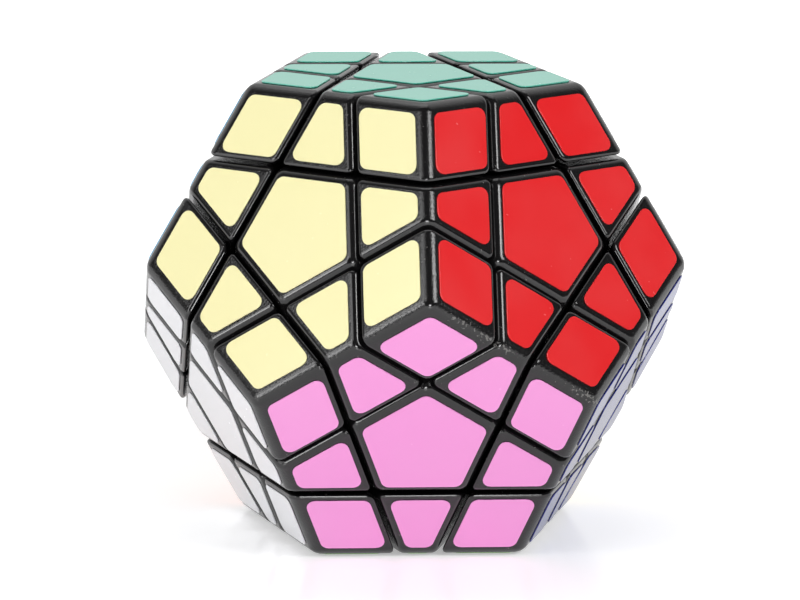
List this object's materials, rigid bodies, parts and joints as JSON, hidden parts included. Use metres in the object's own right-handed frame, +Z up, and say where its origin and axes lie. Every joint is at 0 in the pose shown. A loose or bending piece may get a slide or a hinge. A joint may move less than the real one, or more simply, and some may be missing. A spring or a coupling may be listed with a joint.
{
  "type": "dodecahedron twisty puzzle",
  "caption": "Black pentagon-faced twisty puzzle with a coloured sticker on every tile; each face layer turns about its own axis on a sprung core.",
  "frame": {"origin": "centre of the puzzle, where the twelve turning axes meet", "axes": "+Z up through the green face's centre, -Y to the front, where the pink face is"},
  "size_m": [0.078, 0.082, 0.0672],
  "materials": {
    "plastic": "satin",
    "core_plastic": "matte",
    "steel": "plain",
    "sticker_green": "vinyl",
    "sticker_red": "vinyl",
    "sticker_grey": "vinyl",
    "sticker_purple": "vinyl",
    "sticker_sky": "vinyl",
    "sticker_cream": "vinyl",
    "sticker_pink": "vinyl",
    "sticker_blue": "vinyl",
    "sticker_yellow": "vinyl",
    "sticker_orange": "vinyl",
    "sticker_white": "vinyl",
    "sticker_lime": "vinyl"
  },
  "bodies": {
    "core_group": {"core": "core_plastic", "screws": "steel", "springs": "steel", "centre_lime": "plastic"},
    "centre_green": {"centre_green": "plastic"},
    "centre_red": {"centre_red": "plastic"},
    "centre_grey": {"centre_grey": "plastic"},
    "centre_purple": {"centre_purple": "plastic"},
    "centre_sky": {"centre_sky": "plastic"},
    "centre_cream": {"centre_cream": "plastic"},
    "centre_pink": {"centre_pink_base_edge": "plastic"},
    "centre_blue": {"centre_blue_base_edge": "plastic"},
    "centre_yellow": {"centre_yellow_base_edge": "plastic"},
    "centre_orange": {"centre_orange_base_edge": "plastic"},
    "centre_white": {"centre_white_base_edge": "plastic"},
    "edge_green_red": {"edge_green_red": "plastic"},
    "edge_green_grey": {"edge_green_grey": "plastic"},
    "edge_green_purple": {"edge_green_purple": "plastic"},
    "edge_green_sky": {"edge_green_sky": "plastic"},
    "edge_green_cream": {"edge_green_cream": "plastic"},
    "edge_red_grey": {"edge_red_grey": "plastic"},
    "edge_red_cream": {"edge_red_cream": "plastic"},
    "edge_red_pink": {"edge_red_pink": "plastic"},
    "edge_red_blue": {"edge_red_blue": "plastic"},
    "edge_grey_purple": {"edge_grey_purple": "plastic"},
    "edge_grey_blue": {"edge_grey_blue": "plastic"},
    "edge_grey_yellow": {"edge_grey_yellow": "plastic"},
    "edge_purple_sky": {"edge_purple_sky": "plastic"},
    "edge_purple_yellow": {"edge_purple_yellow": "plastic"},
    "edge_purple_orange": {"edge_purple_orange": "plastic"},
    "edge_sky_cream": {"edge_sky_cream": "plastic"},
    "edge_sky_orange": {"edge_sky_orange": "plastic"},
    "edge_sky_white": {"edge_sky_white": "plastic"},
    "edge_cream_pink": {"edge_cream_pink": "plastic"},
    "edge_cream_white": {"edge_cream_white": "plastic"},
    "edge_pink_blue": {"edge_pink_blue": "plastic", "corner_pink_lime_blue": "plastic"},
    "edge_pink_white": {"edge_pink_white": "plastic", "corner_pink_white_lime": "plastic"},
    "edge_blue_yellow": {"edge_blue_yellow": "plastic", "corner_blue_lime_yellow": "plastic"},
    "edge_yellow_orange": {"edge_yellow_orange": "plastic", "corner_yellow_lime_orange": "plastic"},
    "edge_orange_white": {"edge_orange_white": "plastic", "corner_orange_lime_white": "plastic"},
    "corner_green_red_grey": {"corner_green_red_grey": "plastic"},
    "corner_green_cream_red": {"corner_green_cream_red": "plastic"},
    "corner_green_grey_purple": {"corner_green_grey_purple": "plastic"},
    "corner_green_purple_sky": {"corner_green_purple_sky": "plastic"},
    "corner_green_sky_cream": {"corner_green_sky_cream": "plastic"},
    "corner_red_blue_grey": {"corner_red_blue_grey": "plastic"},
    "corner_red_cream_pink": {"corner_red_cream_pink": "plastic"},
    "corner_red_pink_blue": {"corner_red_pink_blue": "plastic"},
    "corner_grey_yellow_purple": {"corner_grey_yellow_purple": "plastic"},
    "corner_grey_blue_yellow": {"corner_grey_blue_yellow": "plastic"},
    "corner_purple_orange_sky": {"corner_purple_orange_sky": "plastic"},
    "corner_purple_yellow_orange": {"corner_purple_yellow_orange": "plastic"},
    "corner_sky_white_cream": {"corner_sky_white_cream": "plastic"},
    "corner_sky_orange_white": {"corner_sky_orange_white": "plastic"},
    "corner_cream_white_pink": {"corner_cream_white_pink": "plastic"}
  },
  "joints": [
    {"name": "green_turn", "type": "hinge", "parent": "core_group", "child": "centre_green", "pos_m": [0, 0, 0], "axis": [0, 0, 1], "continuous": true},
    {"name": "red_turn", "type": "hinge", "parent": "core_group", "child": "centre_red", "pos_m": [0, 0, 0], "axis": [0.5257, -0.7236, 0.4472], "range_deg": [-360, 360]},
    {"name": "grey_turn", "type": "hinge", "parent": "core_group", "child": "centre_grey", "pos_m": [0, 0, 0], "axis": [0.8507, 0.2764, 0.4472], "range_deg": [-360, 360]},
    {"name": "purple_turn", "type": "hinge", "parent": "core_group", "child": "centre_purple", "pos_m": [0, 0, 0], "axis": [0, 0.8944, 0.4472], "range_deg": [-360, 360]},
    {"name": "sky_turn", "type": "hinge", "parent": "core_group", "child": "centre_sky", "pos_m": [0, 0, 0], "axis": [-0.8507, 0.2764, 0.4472], "range_deg": [-360, 360]},
    {"name": "cream_turn", "type": "hinge", "parent": "core_group", "child": "centre_cream", "pos_m": [0, 0, 0], "axis": [-0.5257, -0.7236, 0.4472], "range_deg": [-360, 360]},
    {"name": "pink_turn", "type": "hinge", "parent": "core_group", "child": "centre_pink", "pos_m": [0, 0, 0], "axis": [0, -0.8944, -0.4472], "continuous": true},
    {"name": "blue_turn", "type": "hinge", "parent": "core_group", "child": "centre_blue", "pos_m": [0, 0, 0], "axis": [0.8507, -0.2764, -0.4472], "range_deg": [-360, 360]},
    {"name": "yellow_turn", "type": "hinge", "parent": "core_group", "child": "centre_yellow", "pos_m": [0, 0, 0], "axis": [0.5257, 0.7236, -0.4472], "continuous": true},
    {"name": "orange_turn", "type": "hinge", "parent": "core_group", "child": "centre_orange", "pos_m": [0, 0, 0], "axis": [-0.5257, 0.7236, -0.4472], "range_deg": [-360, 360]},
    {"name": "white_turn", "type": "hinge", "parent": "core_group", "child": "centre_white", "pos_m": [0, 0, 0], "axis": [-0.8507, -0.2764, -0.4472], "range_deg": [-360, 360]},
    {"name": "edge_green_red_by_green", "type": "hinge", "parent": "centre_red", "child": "edge_green_red", "pos_m": [0, 0, 0], "axis": [0, 0, 1], "continuous": true},
    {"name": "edge_green_grey_by_green", "type": "hinge", "parent": "centre_grey", "child": "edge_green_grey", "pos_m": [0, 0, 0], "axis": [0, 0, 1], "continuous": true},
    {"name": "edge_green_purple_by_green", "type": "hinge", "parent": "centre_purple", "child": "edge_green_purple", "pos_m": [0, 0, 0], "axis": [0, 0, 1], "continuous": true},
    {"name": "edge_green_sky_by_green", "type": "hinge", "parent": "centre_sky", "child": "edge_green_sky", "pos_m": [0, 0, 0], "axis": [0, 0, 1], "continuous": true},
    {"name": "edge_green_cream_by_green", "type": "hinge", "parent": "centre_cream", "child": "edge_green_cream", "pos_m": [0, 0, 0], "axis": [0, 0, 1], "continuous": true},
    {"name": "edge_red_grey_by_red", "type": "hinge", "parent": "centre_grey", "child": "edge_red_grey", "pos_m": [0, 0, 0], "axis": [0.5257, -0.7236, 0.4472], "range_deg": [-360, 360]},
    {"name": "edge_red_cream_by_cream", "type": "hinge", "parent": "centre_red", "child": "edge_red_cream", "pos_m": [0, 0, 0], "axis": [-0.5257, -0.7236, 0.4472], "range_deg": [-360, 360]},
    {"name": "edge_red_pink_by_red", "type": "hinge", "parent": "centre_pink", "child": "edge_red_pink", "pos_m": [0, 0, 0], "axis": [0.5257, -0.7236, 0.4472], "range_deg": [-360, 360]},
    {"name": "edge_red_blue_by_blue", "type": "hinge", "parent": "centre_red", "child": "edge_red_blue", "pos_m": [0, 0, 0], "axis": [0.8507, -0.2764, -0.4472], "range_deg": [-360, 360]},
    {"name": "edge_grey_purple_by_grey", "type": "hinge", "parent": "centre_purple", "child": "edge_grey_purple", "pos_m": [0, 0, 0], "axis": [0.8507, 0.2764, 0.4472], "range_deg": [-360, 360]},
    {"name": "edge_grey_blue_by_grey", "type": "hinge", "parent": "centre_blue", "child": "edge_grey_blue", "pos_m": [0, 0, 0], "axis": [0.8507, 0.2764, 0.4472], "range_deg": [-360, 360]},
    {"name": "edge_grey_yellow_by_yellow", "type": "hinge", "parent": "centre_grey", "child": "edge_grey_yellow", "pos_m": [0, 0, 0], "axis": [0.5257, 0.7236, -0.4472], "continuous": true},
    {"name": "edge_purple_sky_by_purple", "type": "hinge", "parent": "centre_sky", "child": "edge_purple_sky", "pos_m": [0, 0, 0], "axis": [0, 0.8944, 0.4472], "range_deg": [-360, 360]},
    {"name": "edge_purple_yellow_by_purple", "type": "hinge", "parent": "centre_yellow", "child": "edge_purple_yellow", "pos_m": [0, 0, 0], "axis": [0, 0.8944, 0.4472], "range_deg": [-360, 360]},
    {"name": "edge_purple_orange_by_orange", "type": "hinge", "parent": "centre_purple", "child": "edge_purple_orange", "pos_m": [0, 0, 0], "axis": [-0.5257, 0.7236, -0.4472], "range_deg": [-360, 360]},
    {"name": "edge_sky_cream_by_sky", "type": "hinge", "parent": "centre_cream", "child": "edge_sky_cream", "pos_m": [0, 0, 0], "axis": [-0.8507, 0.2764, 0.4472], "range_deg": [-360, 360]},
    {"name": "edge_sky_orange_by_sky", "type": "hinge", "parent": "centre_orange", "child": "edge_sky_orange", "pos_m": [0, 0, 0], "axis": [-0.8507, 0.2764, 0.4472], "range_deg": [-360, 360]},
    {"name": "edge_sky_white_by_white", "type": "hinge", "parent": "centre_sky", "child": "edge_sky_white", "pos_m": [0, 0, 0], "axis": [-0.8507, -0.2764, -0.4472], "range_deg": [-360, 360]},
    {"name": "edge_cream_pink_by_pink", "type": "hinge", "parent": "centre_cream", "child": "edge_cream_pink", "pos_m": [0, 0, 0], "axis": [0, -0.8944, -0.4472], "continuous": true},
    {"name": "edge_cream_white_by_cream", "type": "hinge", "parent": "centre_white", "child": "edge_cream_white", "pos_m": [0, 0, 0], "axis": [-0.5257, -0.7236, 0.4472], "range_deg": [-360, 360]},
    {"name": "edge_pink_blue_by_pink", "type": "hinge", "parent": "centre_blue", "child": "edge_pink_blue", "pos_m": [0, 0, 0], "axis": [0, -0.8944, -0.4472], "continuous": true},
    {"name": "edge_pink_white_by_white", "type": "hinge", "parent": "centre_pink", "child": "edge_pink_white", "pos_m": [0, 0, 0], "axis": [-0.8507, -0.2764, -0.4472], "range_deg": [-360, 360]},
    {"name": "edge_blue_yellow_by_blue", "type": "hinge", "parent": "centre_yellow", "child": "edge_blue_yellow", "pos_m": [0, 0, 0], "axis": [0.8507, -0.2764, -0.4472], "range_deg": [-360, 360]},
    {"name": "edge_yellow_orange_by_yellow", "type": "hinge", "parent": "centre_orange", "child": "edge_yellow_orange", "pos_m": [0, 0, 0], "axis": [0.5257, 0.7236, -0.4472], "continuous": true},
    {"name": "edge_orange_white_by_orange", "type": "hinge", "parent": "centre_white", "child": "edge_orange_white", "pos_m": [0, 0, 0], "axis": [-0.5257, 0.7236, -0.4472], "range_deg": [-360, 360]},
    {"name": "corner_green_red_grey_by_red", "type": "hinge", "parent": "edge_green_grey", "child": "corner_green_red_grey", "pos_m": [0, 0, 0], "axis": [0.5257, -0.7236, 0.4472], "range_deg": [-360, 360]},
    {"name": "corner_green_cream_red_by_cream", "type": "hinge", "parent": "edge_green_red", "child": "corner_green_cream_red", "pos_m": [0, 0, 0], "axis": [-0.5257, -0.7236, 0.4472], "range_deg": [-360, 360]},
    {"name": "corner_green_grey_purple_by_grey", "type": "hinge", "parent": "edge_green_purple", "child": "corner_green_grey_purple", "pos_m": [0, 0, 0], "axis": [0.8507, 0.2764, 0.4472], "range_deg": [-360, 360]},
    {"name": "corner_green_purple_sky_by_purple", "type": "hinge", "parent": "edge_green_sky", "child": "corner_green_purple_sky", "pos_m": [0, 0, 0], "axis": [0, 0.8944, 0.4472], "range_deg": [-360, 360]},
    {"name": "corner_green_sky_cream_by_sky", "type": "hinge", "parent": "edge_green_cream", "child": "corner_green_sky_cream", "pos_m": [0, 0, 0], "axis": [-0.8507, 0.2764, 0.4472], "range_deg": [-360, 360]},
    {"name": "corner_red_blue_grey_by_red", "type": "hinge", "parent": "edge_grey_blue", "child": "corner_red_blue_grey", "pos_m": [0, 0, 0], "axis": [0.5257, -0.7236, 0.4472], "range_deg": [-360, 360]},
    {"name": "corner_red_cream_pink_by_cream", "type": "hinge", "parent": "edge_red_pink", "child": "corner_red_cream_pink", "pos_m": [0, 0, 0], "axis": [-0.5257, -0.7236, 0.4472], "range_deg": [-360, 360]},
    {"name": "corner_red_pink_blue_by_blue", "type": "hinge", "parent": "edge_red_pink", "child": "corner_red_pink_blue", "pos_m": [0, 0, 0], "axis": [0.8507, -0.2764, -0.4472], "range_deg": [-360, 360]},
    {"name": "corner_grey_yellow_purple_by_grey", "type": "hinge", "parent": "edge_purple_yellow", "child": "corner_grey_yellow_purple", "pos_m": [0, 0, 0], "axis": [0.8507, 0.2764, 0.4472], "range_deg": [-360, 360]},
    {"name": "corner_grey_blue_yellow_by_yellow", "type": "hinge", "parent": "edge_grey_blue", "child": "corner_grey_blue_yellow", "pos_m": [0, 0, 0], "axis": [0.5257, 0.7236, -0.4472], "continuous": true},
    {"name": "corner_purple_orange_sky_by_purple", "type": "hinge", "parent": "edge_sky_orange", "child": "corner_purple_orange_sky", "pos_m": [0, 0, 0], "axis": [0, 0.8944, 0.4472], "range_deg": [-360, 360]},
    {"name": "corner_purple_yellow_orange_by_orange", "type": "hinge", "parent": "edge_purple_yellow", "child": "corner_purple_yellow_orange", "pos_m": [0, 0, 0], "axis": [-0.5257, 0.7236, -0.4472], "range_deg": [-360, 360]},
    {"name": "corner_sky_white_cream_by_sky", "type": "hinge", "parent": "edge_cream_white", "child": "corner_sky_white_cream", "pos_m": [0, 0, 0], "axis": [-0.8507, 0.2764, 0.4472], "range_deg": [-360, 360]},
    {"name": "corner_sky_orange_white_by_white", "type": "hinge", "parent": "edge_sky_orange", "child": "corner_sky_orange_white", "pos_m": [0, 0, 0], "axis": [-0.8507, -0.2764, -0.4472], "range_deg": [-360, 360]},
    {"name": "corner_cream_white_pink_by_pink", "type": "hinge", "parent": "edge_cream_white", "child": "corner_cream_white_pink", "pos_m": [0, 0, 0], "axis": [0, -0.8944, -0.4472], "continuous": true}
  ],
  "couplings": [
    {"joint": "edge_green_red_by_green", "follows": "green_turn", "ratio": 1},
    {"joint": "edge_green_grey_by_green", "follows": "green_turn", "ratio": 1},
    {"joint": "edge_green_purple_by_green", "follows": "green_turn", "ratio": 1},
    {"joint": "edge_green_sky_by_green", "follows": "green_turn", "ratio": 1},
    {"joint": "edge_green_cream_by_green", "follows": "green_turn", "ratio": 1},
    {"joint": "edge_red_grey_by_red", "follows": "red_turn", "ratio": 1},
    {"joint": "edge_red_cream_by_cream", "follows": "cream_turn", "ratio": 1},
    {"joint": "edge_red_pink_by_red", "follows": "red_turn", "ratio": 1},
    {"joint": "edge_red_blue_by_blue", "follows": "blue_turn", "ratio": 1},
    {"joint": "edge_grey_purple_by_grey", "follows": "grey_turn", "ratio": 1},
    {"joint": "edge_grey_blue_by_grey", "follows": "grey_turn", "ratio": 1},
    {"joint": "edge_grey_yellow_by_yellow", "follows": "yellow_turn", "ratio": 1},
    {"joint": "edge_purple_sky_by_purple", "follows": "purple_turn", "ratio": 1},
    {"joint": "edge_purple_yellow_by_purple", "follows": "purple_turn", "ratio": 1},
    {"joint": "edge_purple_orange_by_orange", "follows": "orange_turn", "ratio": 1},
    {"joint": "edge_sky_cream_by_sky", "follows": "sky_turn", "ratio": 1},
    {"joint": "edge_sky_orange_by_sky", "follows": "sky_turn", "ratio": 1},
    {"joint": "edge_sky_white_by_white", "follows": "white_turn", "ratio": 1},
    {"joint": "edge_cream_pink_by_pink", "follows": "pink_turn", "ratio": 1},
    {"joint": "edge_cream_white_by_cream", "follows": "cream_turn", "ratio": 1},
    {"joint": "edge_pink_blue_by_pink", "follows": "pink_turn", "ratio": 1},
    {"joint": "edge_pink_white_by_white", "follows": "white_turn", "ratio": 1},
    {"joint": "edge_blue_yellow_by_blue", "follows": "blue_turn", "ratio": 1},
    {"joint": "edge_yellow_orange_by_yellow", "follows": "yellow_turn", "ratio": 1},
    {"joint": "edge_orange_white_by_orange", "follows": "orange_turn", "ratio": 1},
    {"joint": "corner_green_red_grey_by_red", "follows": "red_turn", "ratio": 1},
    {"joint": "corner_green_cream_red_by_cream", "follows": "cream_turn", "ratio": 1},
    {"joint": "corner_green_grey_purple_by_grey", "follows": "grey_turn", "ratio": 1},
    {"joint": "corner_green_purple_sky_by_purple", "follows": "purple_turn", "ratio": 1},
    {"joint": "corner_green_sky_cream_by_sky", "follows": "sky_turn", "ratio": 1},
    {"joint": "corner_red_blue_grey_by_red", "follows": "red_turn", "ratio": 1},
    {"joint": "corner_red_cream_pink_by_cream", "follows": "cream_turn", "ratio": 1},
    {"joint": "corner_red_pink_blue_by_blue", "follows": "blue_turn", "ratio": 1},
    {"joint": "corner_grey_yellow_purple_by_grey", "follows": "grey_turn", "ratio": 1},
    {"joint": "corner_grey_blue_yellow_by_yellow", "follows": "yellow_turn", "ratio": 1},
    {"joint": "corner_purple_orange_sky_by_purple", "follows": "purple_turn", "ratio": 1},
    {"joint": "corner_purple_yellow_orange_by_orange", "follows": "orange_turn", "ratio": 1},
    {"joint": "corner_sky_white_cream_by_sky", "follows": "sky_turn", "ratio": 1},
    {"joint": "corner_sky_orange_white_by_white", "follows": "white_turn", "ratio": 1},
    {"joint": "corner_cream_white_pink_by_pink", "follows": "pink_turn", "ratio": 1}
  ]
}
